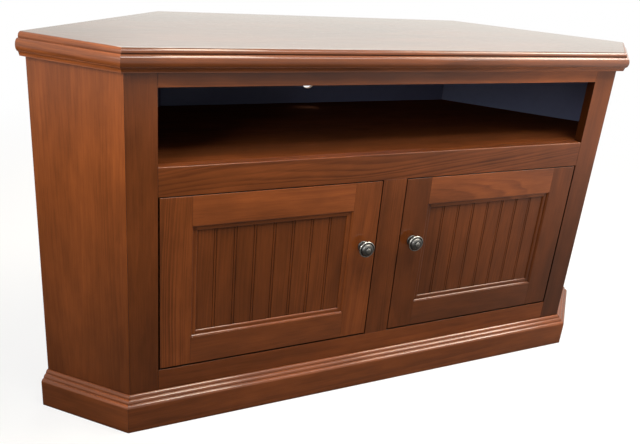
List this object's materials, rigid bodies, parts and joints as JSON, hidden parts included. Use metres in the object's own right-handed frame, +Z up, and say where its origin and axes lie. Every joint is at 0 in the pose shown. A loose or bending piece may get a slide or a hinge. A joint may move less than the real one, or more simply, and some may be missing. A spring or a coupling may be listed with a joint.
{
  "type": "corner tv cabinet",
  "caption": "Low corner cabinet in stained wood with canted ends: moulded top, open media bay, framed beadboard doors on concealed hinges, metal knobs and a reeded plinth.",
  "frame": {"origin": "on the floor, under the middle of the overall box", "axes": "+X along the front, from the left door to the right; +Y from the room into the corner; +Z up"},
  "size_m": [1.281, 0.4206, 0.686],
  "materials": {
    "stained_wood": "red-brown stained pine under satin lacquer",
    "beadboard_wood": "the same stain, a shade darker, satin lacquer",
    "inside_wood": "thin stain, matt",
    "knob_metal": "antique pewter plating with bright worn edges",
    "hinge_steel": "bright nickel plating"
  },
  "bodies": {
    "root": {"top_panel": "stained_wood", "front_top_moulding": "stained_wood", "left_top_moulding": "stained_wood", "right_top_moulding": "stained_wood", "front_plinth": "stained_wood", "left_plinth": "stained_wood", "right_plinth": "stained_wood", "left_stile": "stained_wood", "right_stile": "stained_wood", "centre_stile": "stained_wood", "top_rail": "stained_wood", "mid_rail": "stained_wood", "bottom_rail": "stained_wood", "left_side_panel": "stained_wood", "right_side_panel": "stained_wood", "media_shelf": "stained_wood", "left_wall_panel": "inside_wood", "right_wall_panel": "inside_wood", "back_panel": "inside_wood", "bottom_panel": "inside_wood", "centre_partition": "inside_wood", "left_shelf": "inside_wood", "right_shelf": "inside_wood", "left_partition_cleat": "inside_wood", "right_partition_cleat": "inside_wood", "left_wall_cleat": "inside_wood", "right_wall_cleat": "inside_wood", "left_hinge_post": "inside_wood", "right_hinge_post": "inside_wood", "left_lower_hinge_arm": "hinge_steel", "left_upper_hinge_arm": "hinge_steel", "right_lower_hinge_arm": "hinge_steel", "right_upper_hinge_arm": "hinge_steel", "left_lower_hinge_plate": "hinge_steel", "left_upper_hinge_plate": "hinge_steel", "right_lower_hinge_plate": "hinge_steel", "right_upper_hinge_plate": "hinge_steel"},
    "left_door": {"left_door_hinge_stile": "stained_wood", "left_door_latch_stile": "stained_wood", "left_door_top_rail": "stained_wood", "left_door_bottom_rail": "stained_wood", "left_door_beadboard": "beadboard_wood", "left_lower_hinge_cup": "hinge_steel", "left_upper_hinge_cup": "hinge_steel", "left_lower_hinge_pin": "hinge_steel", "left_upper_hinge_pin": "hinge_steel", "left_knob": "knob_metal", "left_knob_screw": "hinge_steel"},
    "right_door": {"right_door_hinge_stile": "stained_wood", "right_door_latch_stile": "stained_wood", "right_door_top_rail": "stained_wood", "right_door_bottom_rail": "stained_wood", "right_door_beadboard": "beadboard_wood", "right_lower_hinge_cup": "hinge_steel", "right_upper_hinge_cup": "hinge_steel", "right_lower_hinge_pin": "hinge_steel", "right_upper_hinge_pin": "hinge_steel", "right_knob": "knob_metal", "right_knob_screw": "hinge_steel"}
  },
  "joints": [
    {"name": "left_door_hinge", "type": "hinge", "parent": "root", "child": "left_door", "pos_m": [-0.4215, -0.17278, 0.2775], "axis": [0, 0, -1], "range_deg": [0, 105]},
    {"name": "right_door_hinge", "type": "hinge", "parent": "root", "child": "right_door", "pos_m": [0.4215, -0.17278, 0.2775], "axis": [0, 0, 1], "range_deg": [0, 105]}
  ]
}
